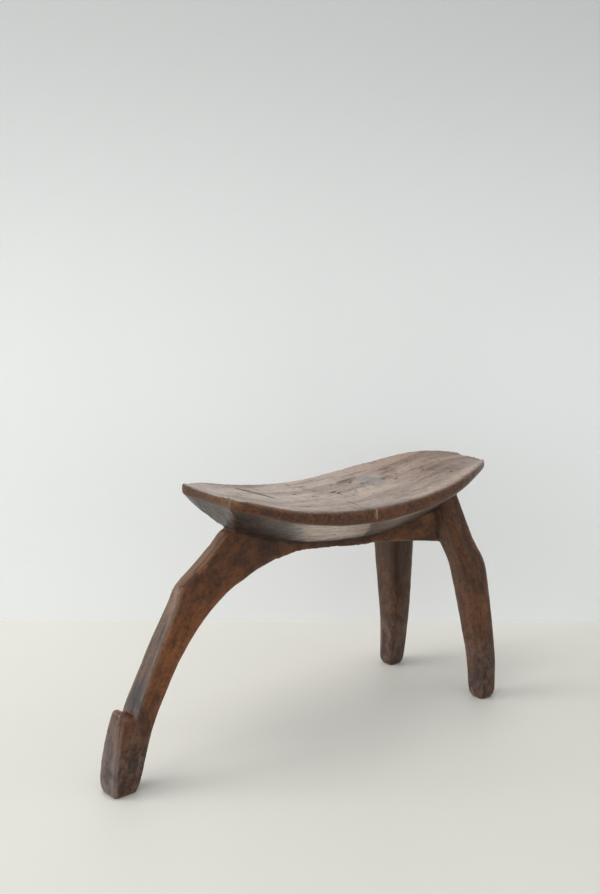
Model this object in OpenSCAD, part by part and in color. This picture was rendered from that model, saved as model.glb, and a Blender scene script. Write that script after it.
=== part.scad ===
// Three-legged wooden milking stool.
// A dished, boat-bottomed seat stands on one cranked front leg with a raised
// toe and on two splayed rear legs. A thin spine runs under the keel of the
// seat from the head of the front leg to the crotch block between the rear
// legs. Every member is joined by blind tenons, so no joint shows outside.
//
// Frame: +Z up, z = 0 is the floor, the front leg is towards -X, the left rear
// leg is towards -Y. The origin is midway along the length on the centre plane.
// All lengths are in millimetres.

/* [Seat] */
// Length of the seat, front edge to rear point
seat_length = 427; // [418:1:440]
// Width of the seat across its parallel sides
seat_width = 156; // [146:1:166]
// Width of the straight front edge
seat_front_width = 82; // [70:1:100]
// Lowest height of the rim, near the middle of the seat
rim_low = 268; // [264:1:271]
// How far the rim rises from its lowest point to the front edge
rim_rise_front = 34; // [28:1:38]
// How far the rim rises from its lowest point towards the rear
rim_rise_rear = 24.5; // [20:0.5:27]
// How far the rear point droops below that rise
rear_droop = 20; // [14:0.5:22]
// Thickness of the rim band at the middle
rim_thick = 16; // [14:0.5:18]
// Depth of the hollow across the seat
dish_depth = 8; // [4:0.5:10]

/* [Spine] */
// Width of the spine and of the flat keel it sits on
spine_width = 20; // [18:0.5:22]

/* [Front leg] */
// Width of the face of the toe
toe_face = 19; // [16:0.5:22]
// Height of the toe above the floor
toe_height = 88; // [82:1:94]

/* [Rear legs] */
// Distance of each rear foot from the centre plane
foot_spread = 74; // [70:0.5:80]
// Thickness of a rear leg at its knee
knee_thick = 37; // [36:0.5:40]

/* [Joinery] */
// Radius of the round tenons of the rear legs and the crotch block
tenon_r = 8; // [7:0.5:9]
// Radius of the front leg's tenon
front_tenon_r = 6; // [5:0.5:6.5]
// Radius of the stub tenons at the ends of the spine
stub_r = 3; // [2.5:0.25:3.5]
// Clearance at the blind end of each mortise
end_gap = 1; // [0.5:0.5:2]

/* [Hidden] */
wood = "#5b3a28";
worn_wood = "#7a543c";

seat_front_x = -147;
seat_rear_x = seat_front_x + seat_length;
half_w = seat_width / 2;
half_front = seat_front_width / 2;
keel_half = spine_width / 2 + 0.6;

// ---- small helpers -------------------------------------------------------
function clamp01(t) = max(0, min(1, t));
function ease(t) = let (c = clamp01(t)) c * c * (3 - 2 * c);
function mix(a, b, t) = a + (b - a) * t;
// Smooth minimum of a and b with a blend of width k.
function smin(a, b, k) = let (h = clamp01(0.5 + (b - a) / (2 * k))) mix(b, a, h) - k * h * (1 - h);
// Catmull-Rom curve through rows of any length, at parameter t from 0 to the last row.
function row(rows, i) = rows[max(0, min(len(rows) - 1, i))];
function spline(rows, t) =
    let (i = min(floor(t), len(rows) - 2), f = t - i,
         a = row(rows, i - 1), b = row(rows, i), c = row(rows, i + 1), d = row(rows, i + 2))
    0.5 * (2 * b + (c - a) * f + (2 * a - 5 * b + 4 * c - d) * f * f + (3 * b - a - 3 * c + d) * f * f * f);
// Rows resampled along the curve, with steps pieces for each span.
function resample(rows, steps) = [for (k = [0:(len(rows) - 1) * steps]) spline(rows, k / steps)];
// Height of a curve given as [x, z] rows, read at x by straight lines between them.
function height_at(rows, x) = lookup(x, rows);

// Skin over equal rings of points, with both ends closed. The faces of an end are given as
// ring positions, in the order of the ring; by itself an end is one face.
module loft(rings, end = undef) {
    n = len(rings[0]);
    last = len(rings) - 1;
    faces = is_undef(end) ? [[for (j = [0:n - 1]) j]] : end;
    points = [for (ring = rings) for (p = ring) p];
    sides = [for (i = [0:last - 1]) for (j = [0:n - 1])
        let (a = i * n + j, b = i * n + (j + 1) % n) each [[a, b, b + n], [a, b + n, a + n]]];
    first_end = [for (f = faces) [for (j = [len(f) - 1:-1:0]) f[j]]];
    last_end = [for (f = faces) [for (j = f) last * n + j]];
    polyhedron(points, concat(sides, first_end, last_end), convexity = 6);
}
// Triangles that fill an outline like the rungs of a ladder, from its two ends inwards.
function ladder(f) = let (m = len(f))
    [for (i = [0:m / 2 - 2]) each [[f[i], f[i + 1], f[m - 2 - i]], [f[i], f[m - 2 - i], f[m - 1 - i]]]];

// ---- seat ----------------------------------------------------------------
// Position along the seat, 0 at the front edge and 1 at the rear point.
function seat_u(x) = (x - seat_front_x) / seat_length;
flare_end = 0.12;   // where the front corners have flared to the full width
taper_start = 0.52; // where the sides begin to close towards the rear
function seat_half(u) =
    let (flare = mix(half_front, half_w + 3, u / flare_end),
         t = clamp01((u - taper_start) / (1 - taper_start)))
    smin(flare, half_w + 2 - 3 * clamp01(u * 4), 9) * pow(max(0.03, 1 - pow(t, 2.6)), 0.92);
low_u = 0.46;       // where the rim is lowest
function rim_top(u) = rim_low
    + rim_rise_front * pow(clamp01((low_u - u) / low_u), 1.85)
    + rim_rise_rear * pow(clamp01((u - low_u) / (1 - low_u)), 1.45)
    - rear_droop * pow(clamp01((u - 0.8) / 0.2), 2);
// The band is thinner at both ends of the seat.
function rim_band(u) = mix(mix(12, rim_thick, ease(u / 0.35)), 9, ease((u - 0.6) / 0.4));
function rim_under(u) = rim_top(u) - rim_band(u);

// Keel line of the seat, as it sweeps from the head of the front leg to the stern.
keel_line = resample([[-160, 268], [-120, 255.5], [-92, 244.5], [-58, 232.5], [-22, 223.8],
                      [17, 217.7], [55, 213.8], [95, 213], [150, 216.5], [190, 227],
                      [225, 244], [255, 262], [290, 286]], 4);
leg_head_x = -120;                    // front face of the leg where it meets the seat
leg_head_z = height_at(keel_line, leg_head_x);
front_slope = (rim_under(0) - leg_head_z) / (leg_head_x - seat_front_x);
function prow(x) = rim_under(0) - front_slope * (x - seat_front_x);
function keel(x) = min(max(height_at(keel_line, x), prow(x)), rim_under(seat_u(x)));
// Half-width of the flat keel: the prow's facet narrows to it from the front edge.
function keel_edge(x) =
    let (u = seat_u(x), w = seat_half(u), base = height_at(keel_line, x),
         rise = max(0, prow(x) - base) / max(1, rim_under(u) - base))
    min(w * (u < 0.3 ? 0.96 : 0.6), max(min(keel_half, w * 0.5), mix(keel_half - 1, w, clamp01(rise))));

bevel_cols = 5;     // columns on each bevelled side
top_cols = 8;       // columns on each half of the hollow
function seat_ring(x) =
    let (u = seat_u(x), w = seat_half(u), e = keel_edge(x), zk = keel(x), zu = rim_under(u), zt = rim_top(u),
         dish = dish_depth * pow(max(0, sin(180 * clamp01(0.06 + 0.9 * u))), 0.6),
         half = concat(
             [[0, zk]],
             [for (k = [0:bevel_cols]) let (t = k / bevel_cols) [mix(e, w, t), mix(zk, zu, t)]],
             [[w + 0.9, mix(zu, zt, 0.4)], [w + 0.4, mix(zu, zt, 0.8)]],
             [for (k = [top_cols:-1:1]) let (t = k / top_cols)
                 [t * (w - 1.5), zt - dish * (1 - t * t)]]))
    concat(
        [for (p = half) [x, -p[0], p[1]]],
        [[x, 0, zt - dish]],
        [for (k = [len(half) - 1:-1:1]) [x, half[k][0], half[k][1]]]);
// Stations crowd together at the rear point, where the outline turns fast.
seat_stations = concat(
    [for (k = [0:9]) seat_front_x + k * 6],
    [for (k = [1:24]) let (t = k / 24) mix(seat_front_x + 54, seat_rear_x, sin(90 * t))]);
// An end is filled between the underside and the hollow, one half at a time.
half_ring = bevel_cols + top_cols + 4;
seat_end = concat(ladder([for (j = [0:half_ring]) j]),
                  ladder([for (j = [0:half_ring]) (half_ring + j) % (2 * half_ring)]));
module seat_body() {
    loft([for (x = seat_stations) seat_ring(x)], seat_end);
}
// The hull of the seat carried straight up, to trim the heads of the members below it.
hull_top = 340;
module seat_hull() {
    n = bevel_cols + 2;
    size = 2 * n + 3;
    loft([for (x = seat_stations)
        let (ring = seat_ring(x), low = [for (k = [0:n]) [x, ring[k][1], ring[k][2]]], w = abs(ring[n][1]))
        concat(low, [[x, -w, hull_top], [x, w, hull_top]],
               [for (k = [n:-1:1]) [x, -low[k][1], low[k][2]]])],
        [[for (j = [0:size - 1]) (n + 1 + j) % size]]);
}

// ---- side profile shared by the front leg, spine and crotch block ---------
// Underside of the spine, from the arch of the front leg to the crotch.
spine_front_x = -58;
spine_rear_x = 81;
arch_line = resample([[-94, 202.4], [-64, 210.5], [-32, 214.6], [-8, 212.8], [17, 210.2],
                      [48, 205.5], [81, 202.4], [125, 198.5], [168, 194.5]], 4);

// ---- front leg -------------------------------------------------------------
// Each row: front edge x, z; back edge x, z; width of the front face; width of the back face.
leg_rows = [
    [-273, 0, -248, 0, 25, 25],
    [-270, 10, -243.5, 10, 27, 29],
    [-260.5, 46, -234, 46, 29.5, 32],
    [-245.5, 87, -224.5, 73.5, 31, 33],
    [-231, 117.5, -208.5, 103, 28, 32],
    [-219.5, 140.5, -194.5, 125, 26.5, 31],
    [-205, 165.5, -176.5, 149, 24, 30],
    [-192.5, 189.5, -158.5, 168, 19, 30],
    [-185, 205.5, -144.5, 179.5, 14, 29],
    [-157, 226, -123.5, 191.5, 16, 27],
    [-139, 241, -106, 198, 16, 25],
    [-119.5, 256, -94, 202.5, 16.5, 23],
    [-92, 245, -77.5, 207, 18, 21.5],
    [-58, 233, -58, 211.5, 20, 20]];
// Ring of a rounded trapezoid between a front point and a back point in the XZ plane.
corner = 0.16; // share of each side taken by its rounded corner
function leg_ring(r) =
    let (f = [r[0], r[1]], b = [r[2], r[3]], d = norm(b - f), along = (b - f) / d,
         c = min(corner * d, corner * r[4] * 1.2), face = r[4] / 2, back = r[5] / 2,
         half = [[face - c, 0], [face - c * 0.2, c * 0.35], [mix(face, back, 0.2), c * 1.2],
                 [back, d - c * 1.4], [back - c * 0.35, d - c * 0.35], [back - c * 1.3, d]])
    [for (p = concat(half, [for (k = [5:-1:0]) [-half[k][0], half[k][1]]]))
        let (q = f + along * p[1]) [q[0], p[0], q[1]]];
module leg_shaft() {
    loft([for (r = resample(leg_rows, 3)) leg_ring(r)]);
}
// The toe: a block left proud on the front of the foot.
// Rows: z, front x, back x, face width, root width, fall of the top from front to back.
toe_rows = [
    [0, -275, -256, toe_face + 5, 24, 0],
    [5, -277.5, -254, toe_face + 9, 28, 0],
    [11, -278, -252, toe_face + 11, 29.5, 0],
    [21, -277.5, -250, toe_face + 11, 30.5, 0],
    [52, -272.5, -244, toe_face + 9, 31, 0],
    [toe_height - 10, -266, -236, toe_face + 4, 31, 0.15],
    [toe_height - 2.5, -263.5, -233, toe_face + 1, 31, 0.5],
    [toe_height, -260.5, -233, toe_face - 4, 30, 0.55]];
function toe_ring(r) =
    let (w = r[3] / 2, v = r[4] / 2)
    [for (p = [[0, -w + 3], [0, w - 3], [2.5, w], [r[2] - r[1], v], [r[2] - r[1], -v], [2.5, -w]])
        [r[1] + p[0], p[1], r[0] - r[5] * p[0]]];
module toe() {
    loft([for (r = resample(toe_rows, 2)) toe_ring(r)]);
}

// ---- rear legs --------------------------------------------------------------
// Each row: height, centre x, distance from the centre plane, size along x, size along y.
left_rows = [
    [0, 208.5, foot_spread, 20, 20],
    [4.5, 209, foot_spread - 0.4, 25.5, 25.5],
    [15, 209.5, foot_spread - 1.5, 28, 27.5],
    [47, 211, foot_spread - 5.5, 30, 29.5],
    [97, 205.5, foot_spread - 10.5, 33, 32],
    [151, 197, foot_spread - 15.5, knee_thick, knee_thick - 3],
    [175, 191.5, foot_spread - 19, knee_thick + 1, knee_thick - 3],
    [200, 180.5, foot_spread - 24.5, knee_thick - 2, knee_thick - 4],
    [254, 164, foot_spread - 33.5, knee_thick - 10, knee_thick - 5],
    [277, 158, foot_spread - 38, knee_thick - 12, knee_thick - 5]];
right_rows = [
    [0, 199.5, foot_spread - 1, 20, 20],
    [4.5, 199.5, foot_spread - 1, 25, 25],
    [15, 199.5, foot_spread - 1.5, 27, 27],
    [47, 199, foot_spread - 4, 29, 29],
    [97, 194.5, foot_spread - 8.5, 34.5, 34],
    [151, 188.5, foot_spread - 12.5, knee_thick + 3.5, knee_thick + 1.5],
    [175, 184.5, foot_spread - 15.5, knee_thick + 4.5, knee_thick + 3],
    [200, 177, foot_spread - 21, knee_thick + 3, knee_thick + 1],
    [254, 164, foot_spread - 33.5, knee_thick - 8, knee_thick - 4],
    [277, 158, foot_spread - 38, knee_thick - 10, knee_thick - 4]];
// Rounded square ring: a superellipse in the horizontal plane.
square_exp = 0.42;
function signed_pow(v, e) = sign(v) * pow(abs(v), e);
function leg_slice(r, side) =
    [for (k = [0:19]) let (a = -360 * (k + 0.5) / 20)
        [r[1] + r[3] / 2 * signed_pow(cos(a), square_exp) * 0.985,
         side * (r[2] + side * r[4] / 2 * signed_pow(sin(a), square_exp) * 0.985), r[0]]];
module rear_leg_shaft(rows, side) {
    loft([for (r = resample(rows, 3)) leg_slice(r, side)]);
}

// ---- crotch block -------------------------------------------------------------
// Cross sections along x. Each row: x, half-width at the bottom, half-width at the top, bottom z.
crotch_rows = [
    [spine_rear_x, 10, 10, 202.4],
    [98, 11.5, 12, 200.6],
    [120, 16, 20, 198.6],
    [145, 26, 34, 196.4],
    [164, 36, 43, 194.6],
    [172, 37, 42, 194.2],
    [180, 35, 37, 195]];
crotch_top = 270; // trimmed back to the hull of the seat
// The hollow between the rear legs, seen from behind.
crotch_hollow_x = 212;
crotch_hollow_r = 42;
function crotch_ring(r) =
    let (z = r[3], c = 2.2)
    [[r[0], -r[1] + c, z], [r[0], -r[1], z + c], [r[0], -r[2], z + 32], [r[0], -r[2], crotch_top],
     [r[0], r[2], crotch_top], [r[0], r[2], z + 32], [r[0], r[1], z + c], [r[0], r[1] - c, z]];
module crotch_body() {
    loft([for (r = resample(crotch_rows, 3)) crotch_ring(r)]);
}

// ---- spine ------------------------------------------------------------------
function spine_ring(x) =
    let (w = keel_half, zb = height_at(arch_line, x), zt = keel(x) + 4, c = 1.6)
    [[x, -w + c, zb], [x, -w, zb + c], [x, -w, zt], [x, w, zt], [x, w, zb + c], [x, w - c, zb]];
spine_stations = [for (k = [0:16]) mix(spine_front_x, spine_rear_x, k / 16)];
// The tongue stands on the spine and fills a groove cut along the keel.
tongue_width = 8;
tongue_height = 9;
module tongue(gap) {
    inset = 12 - gap;
    first = spine_front_x + inset;
    last = spine_rear_x - inset;
    loft([for (k = [0:12]) let (x = mix(first, last, k / 12), z = keel(x), w = tongue_width / 2)
        [[x, -w, z - 3], [x, -w, z + tongue_height + gap], [x, w, z + tongue_height + gap], [x, w, z - 3]]]);
}

// ---- tenons -------------------------------------------------------------------
// Each is a round peg on one member. Drawn longer, the same shape cuts its mortise in the other.
front_tenon_x = -98;
module front_tenon(extra) {
    translate([front_tenon_x, 0, 224]) rotate(3.75) cylinder(r = front_tenon_r, h = 36 + extra, $fn = 48);
}
leg_tenon_x = 169;
leg_tenon_y = 41;
module leg_tenon(side, extra) {
    translate([leg_tenon_x, side * leg_tenon_y, 217]) cylinder(r = tenon_r, h = 38 + extra, $fn = 48);
}
cross_tenon_z = 211;
cross_tenon_x = 170;
cross_tenon_y = 24;
cross_tenon_end = 48;
module cross_tenon(side, extra) {
    translate([cross_tenon_x, side * cross_tenon_y, cross_tenon_z])
        rotate([-90 * side, 0, 0]) cylinder(r = 6, h = cross_tenon_end - cross_tenon_y + extra, $fn = 48);
}
stub_length = 14;
module front_stub(extra) {
    translate([spine_front_x + 6, 0, 219.5])
        rotate([0, -90, 0]) rotate(3.75) cylinder(r = stub_r, h = stub_length + 6 + extra, $fn = 48);
}
module rear_stub(extra) {
    translate([spine_rear_x - 6, 0, 207.7])
        rotate([0, 90, 0]) rotate(3.75) cylinder(r = stub_r, h = stub_length + 6 + extra, $fn = 48);
}

// ---- sub-parts ------------------------------------------------------------------
module seat() {
    color(worn_wood) difference() {
        seat_body();
        tongue(end_gap);
        front_tenon(end_gap);
        for (side = [-1, 1]) leg_tenon(side, end_gap);
    }
}

module spine() {
    color(wood) union() {
        difference() {
            loft([for (x = spine_stations) spine_ring(x)]);
            seat_hull();
        }
        tongue(0);
        front_stub(0);
        rear_stub(0);
    }
}

module front_leg() {
    color(wood) difference() {
        union() {
            difference() {
                union() {
                    leg_shaft();
                    toe();
                }
                seat_hull();
            }
            front_tenon(0);
        }
        front_stub(end_gap);
    }
}

module crotch_block() {
    color(wood) difference() {
        union() {
            difference() {
                crotch_body();
                seat_hull();
                rear_leg_shaft(left_rows, -1);
                rear_leg_shaft(right_rows, 1);
                translate([crotch_hollow_x, 0, 150]) rotate(2.5)
                    cylinder(r = crotch_hollow_r, h = 160, $fn = 72);
            }
            for (side = [-1, 1]) cross_tenon(side, 0);
        }
        rear_stub(end_gap);
    }
}

module rear_leg(rows, side) {
    color(wood) difference() {
        union() {
            difference() {
                rear_leg_shaft(rows, side);
                seat_hull();
            }
            leg_tenon(side, 0);
        }
        cross_tenon(side, end_gap);
    }
}
module rear_leg_left() { rear_leg(left_rows, -1); }
module rear_leg_right() { rear_leg(right_rows, 1); }

seat();
spine();
front_leg();
crotch_block();
rear_leg_left();
rear_leg_right();
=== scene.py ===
"""Three-legged wooden milking stool: the looks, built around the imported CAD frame.

The six CAD nodes are merged into one carving, worn and tool-marked as one surface, and then cut
back into the six pieces along the CAD's own joints, tenons and mortises included.
"""

import math

import bmesh
import bpy
import numpy as np
from mathutils import Matrix, Vector
from mathutils.bvhtree import BVHTree
from mathutils.kdtree import KDTree


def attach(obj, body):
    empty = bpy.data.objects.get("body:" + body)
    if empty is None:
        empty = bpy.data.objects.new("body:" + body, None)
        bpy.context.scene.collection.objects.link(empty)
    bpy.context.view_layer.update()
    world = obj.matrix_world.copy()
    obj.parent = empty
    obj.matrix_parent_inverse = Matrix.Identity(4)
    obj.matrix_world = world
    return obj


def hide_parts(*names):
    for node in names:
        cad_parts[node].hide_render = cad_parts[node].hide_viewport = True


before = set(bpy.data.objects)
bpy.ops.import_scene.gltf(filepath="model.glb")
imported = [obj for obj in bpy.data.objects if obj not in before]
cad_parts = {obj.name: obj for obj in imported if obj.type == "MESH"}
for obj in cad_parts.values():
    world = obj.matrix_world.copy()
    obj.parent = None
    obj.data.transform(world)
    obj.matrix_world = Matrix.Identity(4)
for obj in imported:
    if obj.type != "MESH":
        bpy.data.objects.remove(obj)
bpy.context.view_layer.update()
VOXEL = 0.0013
MM = 0.001
COLL = bpy.context.scene.collection


# ---------------------------------------------------------------- numpy helpers
HASH_X, HASH_Y, HASH_Z, HASH_SEED = 73856093, 19349663, 83492791, 2654435761


def gnoise(p, seed=0):
    """Smooth gradient noise of N points, about -1 to 1."""
    p = np.asarray(p, float)
    i = np.floor(p).astype(np.int64)
    f = p - i
    u = f * f * f * (f * (f * 6 - 15) + 10)
    out = np.zeros(len(p))
    for dx, dy, dz in np.ndindex(2, 2, 2):
        h = (i[:, 0] + dx) * HASH_X
        h = h ^ ((i[:, 1] + dy) * HASH_Y)
        h = h ^ ((i[:, 2] + dz) * HASH_Z)
        h = h ^ (seed * HASH_SEED)
        h &= 0xFFFFFFFF
        h = ((h ^ (h >> 15)) * 2246822519) & 0xFFFFFFFF
        h = ((h ^ (h >> 13)) * 3266489917) & 0xFFFFFFFF
        h ^= h >> 16
        w = u[:, 0] if dx else 1 - u[:, 0]
        w = w * (u[:, 1] if dy else 1 - u[:, 1])
        w = w * (u[:, 2] if dz else 1 - u[:, 2])
        out += w * (
            ((h & 1023) / 511.5 - 1) * (f[:, 0] - dx)
            + (((h >> 10) & 1023) / 511.5 - 1) * (f[:, 1] - dy)
            + (((h >> 20) & 1023) / 511.5 - 1) * (f[:, 2] - dz)
        )
    return out * 1.5


def fbm(p, octaves=3, seed=0, gain=0.5):
    """Octaves of gnoise, each finer and weaker than the last."""
    out, a, total = 0, 1.0, 0.0
    for k in range(octaves):
        out = out + a * gnoise(p * 2.03**k, seed + k)
        total += a
        a *= gain
    return out / total


def clamp(x, lo=0.0, hi=1.0):
    return np.minimum(np.maximum(x, lo), hi)


def ease(lo, hi, x):
    """0 at lo and 1 at hi, with a smooth step between; lo may be the larger."""
    t = clamp((x - lo) / (hi - lo))
    return t * t * (3 - 2 * t)


def catmull(rows, steps=4):
    """A smooth curve through the rows, with steps points for each span."""
    rows = np.array(rows, float)
    out = []
    for k in range((len(rows) - 1) * steps + 1):
        t = k / steps
        i = min(int(t), len(rows) - 2)
        f = t - i
        a, b, c, d = (rows[max(0, min(len(rows) - 1, j))] for j in (i - 1, i, i + 1, i + 2))
        square = (2 * a - 5 * b + 4 * c - d) * f * f
        cube = (3 * b - a - 3 * c + d) * f**3
        out.append(0.5 * (2 * b + (c - a) * f + square + cube))
    return np.array(out)


def arrays(me):
    """A mesh's points, its normals there and its edges."""
    v = np.empty(len(me.vertices) * 3)
    me.vertices.foreach_get("co", v)
    n = np.empty(len(me.vertices) * 3)
    me.vertex_normals.foreach_get("vector", n)
    e = np.empty(len(me.edges) * 2, np.int64)
    me.edges.foreach_get("vertices", e)
    return v.reshape(-1, 3), n.reshape(-1, 3), e.reshape(-1, 2)


def set_verts(me, v):
    me.vertices.foreach_set("co", np.asarray(v, float).ravel())
    me.update()


def smooth(v, e, n, lam=0.6):
    """n rounds in which each row moves towards the mean of its neighbours by lam."""
    cnt = np.bincount(e.ravel(), minlength=len(v)).astype(float)
    cnt[cnt == 0] = 1
    v = np.array(v, float)
    a, b = e[:, 0], e[:, 1]
    for _ in range(n):
        m = np.empty_like(v)
        for c in range(v.shape[1]):
            m[:, c] = np.bincount(a, v[b, c], len(v)) + np.bincount(b, v[a, c], len(v))
        v += lam * (m / cnt[:, None] - v)
    return v


def fair(v, e, n):
    """Smooths away the voxel steps and keeps the volume."""
    for _ in range(n):
        v = smooth(smooth(v, e, 1, 0.50), e, 1, -0.53)
    return v


def new_object(name, verts, faces):
    me = bpy.data.meshes.new(name)
    me.from_pydata([tuple(p) for p in verts], [], [tuple(f) for f in faces])
    me.update()
    o = bpy.data.objects.new(name, me)
    COLL.objects.link(o)
    return o


def loft(name, rings):
    """Closed skin over equal rings, each an array of points."""
    n, m = len(rings[0]), len(rings)
    verts = np.concatenate(rings)
    faces = []
    for i in range(m - 1):
        a, b = i * n, (i + 1) * n
        faces += [[a + j, a + (j + 1) % n, b + (j + 1) % n, b + j] for j in range(n)]
    faces += [list(range(n))[::-1], [(m - 1) * n + j for j in range(n)]]
    o = new_object(name, verts, faces)
    bm = bmesh.new()
    bm.from_mesh(o.data)
    bmesh.ops.triangulate(bm, faces=bm.faces)
    bmesh.ops.recalc_face_normals(bm, faces=bm.faces)
    bm.to_mesh(o.data)
    bm.free()
    return o


def box(name, lo, hi):
    y0, z0 = lo[1:]
    y1, z1 = hi[1:]
    ends = [np.array([(x, y0, z0), (x, y1, z0), (x, y1, z1), (x, y0, z1)]) for x in (lo[0], hi[0])]
    return loft(name, ends)


def rod(name, a, b, r, n=40):
    """A cylinder from a to b."""
    a, b = Vector(a), Vector(b)
    q = (b - a).to_track_quat("Z", "Y")
    angles = [2 * math.pi * (k + 0.5) / n for k in range(n)]
    circle = [q @ Vector((r * math.cos(t), r * math.sin(t), 0)) for t in angles]
    return loft(name, [np.array([tuple(end + c) for c in circle]) for end in (a, b)])


def boolean(a, b, how, keep_b=False):
    """a becomes a (how) b, with the manifold solver."""
    mod = a.modifiers.new("b", "BOOLEAN")
    mod.operation = how
    mod.solver = "MANIFOLD"
    mod.object = b
    dg = bpy.context.evaluated_depsgraph_get()
    me = bpy.data.meshes.new_from_object(a.evaluated_get(dg))
    a.modifiers.clear()
    old = a.data
    a.data = me
    bpy.data.meshes.remove(old)
    if not keep_b:
        drop(b)
    return a


def drop(o):
    me = o.data
    bpy.data.objects.remove(o)
    if me and me.users == 0:
        bpy.data.meshes.remove(me)


def copy(o, name):
    c = o.copy()
    c.data = o.data.copy()
    c.name = name
    COLL.objects.link(c)
    return c


def keep_largest(o):
    """Only the largest connected shell is kept."""
    bm = bmesh.new()
    bm.from_mesh(o.data)
    bm.verts.ensure_lookup_table()
    seen = np.zeros(len(bm.verts), bool)
    best = []
    for v in bm.verts:
        if seen[v.index]:
            continue
        stack, shell = [v], []
        seen[v.index] = True
        while stack:
            w = stack.pop()
            shell.append(w)
            for ed in w.link_edges:
                x = ed.other_vert(w)
                if not seen[x.index]:
                    seen[x.index] = True
                    stack.append(x)
        if len(shell) > len(best):
            best = shell
    keep = {v.index for v in best}
    gone = [v for v in bm.verts if v.index not in keep]
    if gone:
        bmesh.ops.delete(bm, geom=gone, context="VERTS")
    bm.to_mesh(o.data)
    bm.free()


# ---------------------------------------------------------------- the camera
YAW, PITCH, ROLL = 0.86735, 0.21783, 0.00298  # radians; pitch is downwards
eye = Vector((-0.9066, -1.0456, 0.6331))
fwd = Vector((math.cos(YAW) * math.cos(PITCH), math.sin(YAW) * math.cos(PITCH), -math.sin(PITCH)))
right = Vector((math.sin(YAW), -math.cos(YAW), 0))
up = right.cross(fwd)
across = right * math.cos(ROLL) + up * math.sin(ROLL)
above_eye = up * math.cos(ROLL) - right * math.sin(ROLL)
cam_data = bpy.data.cameras.new("camera")
cam_data.sensor_width = 36
cam_data.lens = 51.655168  # mm
cam = bpy.data.objects.new("camera", cam_data)
cam.matrix_world = Matrix(list(zip(across, above_eye, -fwd, eye)) + [(0, 0, 0, 1)])
COLL.objects.link(cam)
bpy.context.scene.camera = cam


# ---------------------------------------------------------------- the merged carving
verts, faces, owner = [], [], []
names = list(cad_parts)
for k, n in enumerate(names):
    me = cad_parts[n].data
    base = len(verts)
    verts += [tuple(v.co) for v in me.vertices]
    faces += [[base + i for i in p.vertices] for p in me.polygons]
    owner += [k] * len(me.polygons)
cad_tree = BVHTree.FromPolygons([Vector(v) for v in verts], faces)
body = new_object("carving", verts, faces)
mod = body.modifiers.new("r", "REMESH")
mod.mode = "VOXEL"
mod.voxel_size = VOXEL
dg = bpy.context.evaluated_depsgraph_get()
me = bpy.data.meshes.new_from_object(body.evaluated_get(dg))
body.modifiers.clear()
old = body.data
body.data = me
bpy.data.meshes.remove(old)
keep_largest(body)

V, N, E = arrays(body.data)
V = fair(V, E, 4)
set_verts(body.data, V)
# the rear legs are softened and a little wider across than in the CAD
soft = fair(smooth(V, E, 26, 0.6), E, 1)
legs = ease(115, 150, V[:, 0] / MM) * (1 - ease(176, 206, V[:, 2] / MM)) * ease(20, 26, np.abs(V[:, 1]) / MM)
swell = 1 + 0.035 * legs
mid = np.where(V[:, 1] > 0, 1, -1) * np.interp(V[:, 2] / MM, [0, 97, 200], [74, 63, 48]) * MM
V = V + (soft - V) * (0.85 * legs)[:, None]
V[:, 1] = mid + (V[:, 1] - mid) * swell
V[:, 2] = np.maximum(V[:, 2], 0)
set_verts(body.data, V)
V, N, E = arrays(body.data)

# the CAD's own arrises, as points, for polish and wear along them and a painted highlight on the feet; joint
# lines, which two nodes share, are left out
ARRIS_ANGLE = math.radians(26)
ARRIS_STEP = 0.8  # mm between points
JOINT_NEAR = 1.2  # mm within which another node's arris makes it a joint line
arris_sets = []
for n in names:
    bm = bmesh.new()
    bm.from_mesh(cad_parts[n].data)
    bmesh.ops.remove_doubles(bm, verts=bm.verts, dist=1e-6)
    pts = []
    for ed in bm.edges:
        if len(ed.link_faces) == 2 and ed.is_convex and ed.calc_face_angle() > ARRIS_ANGLE:
            a, b = ed.verts[0].co, ed.verts[1].co
            length = (b - a).length
            for k in range(int(length / (ARRIS_STEP * MM)) + 1):
                pts.append(a.lerp(b, k * ARRIS_STEP * MM / max(length, 1e-9)))
    bm.free()
    arris_sets.append(pts)


def point_tree(pts):
    """A search tree over a list of points."""
    t = KDTree(len(pts))
    for i, p in enumerate(pts):
        t.insert(p, i)
    t.balance()
    return t


trees = [point_tree(pts) for pts in arris_sets]
arris_tree = point_tree([p for i, pts in enumerate(arris_sets) for p in pts
                         if all(j == i or t.find(p)[2] > JOINT_NEAR * MM for j, t in enumerate(trees))])

# which member each point is on, and which face of it
SEAT = names.index("seat")
near = [cad_tree.find_nearest(Vector(p)) for p in V]
who = np.array([owner[hit[2]] for hit in near])
is_seat = (who == SEAT).astype(float)
is_seat = smooth(is_seat[:, None], E, 3)[:, 0]
x, y, z = V[:, 0] / MM, V[:, 1] / MM, V[:, 2] / MM

keel = catmull([[-160, 268], [-120, 255.5], [-92, 244.5], [-58, 232.5], [-22, 223.8], [17, 217.7],
                [55, 213.8], [95, 213], [150, 216.5], [190, 227], [225, 244], [255, 262], [290, 286]])


# the seat's main measures in millimetres, the same as the CAD's
FRONT_X, REAR_X, PROW_X = -147.0, 280.0, -120.0
FRONT_HALF, SEAT_HALF = 41, 78  # half widths at the front end and at the widest
RIM_LOW, RIM_FRONT, RIM_REAR = 268, 34, 24.5  # height of the rim's lowest point, and its two rises
LOW_U = 0.46  # where along the seat that point is


def seat_u(x):
    """0 at the front end of the seat and 1 at the rear tip."""
    return (x - FRONT_X) / (REAR_X - FRONT_X)


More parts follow.
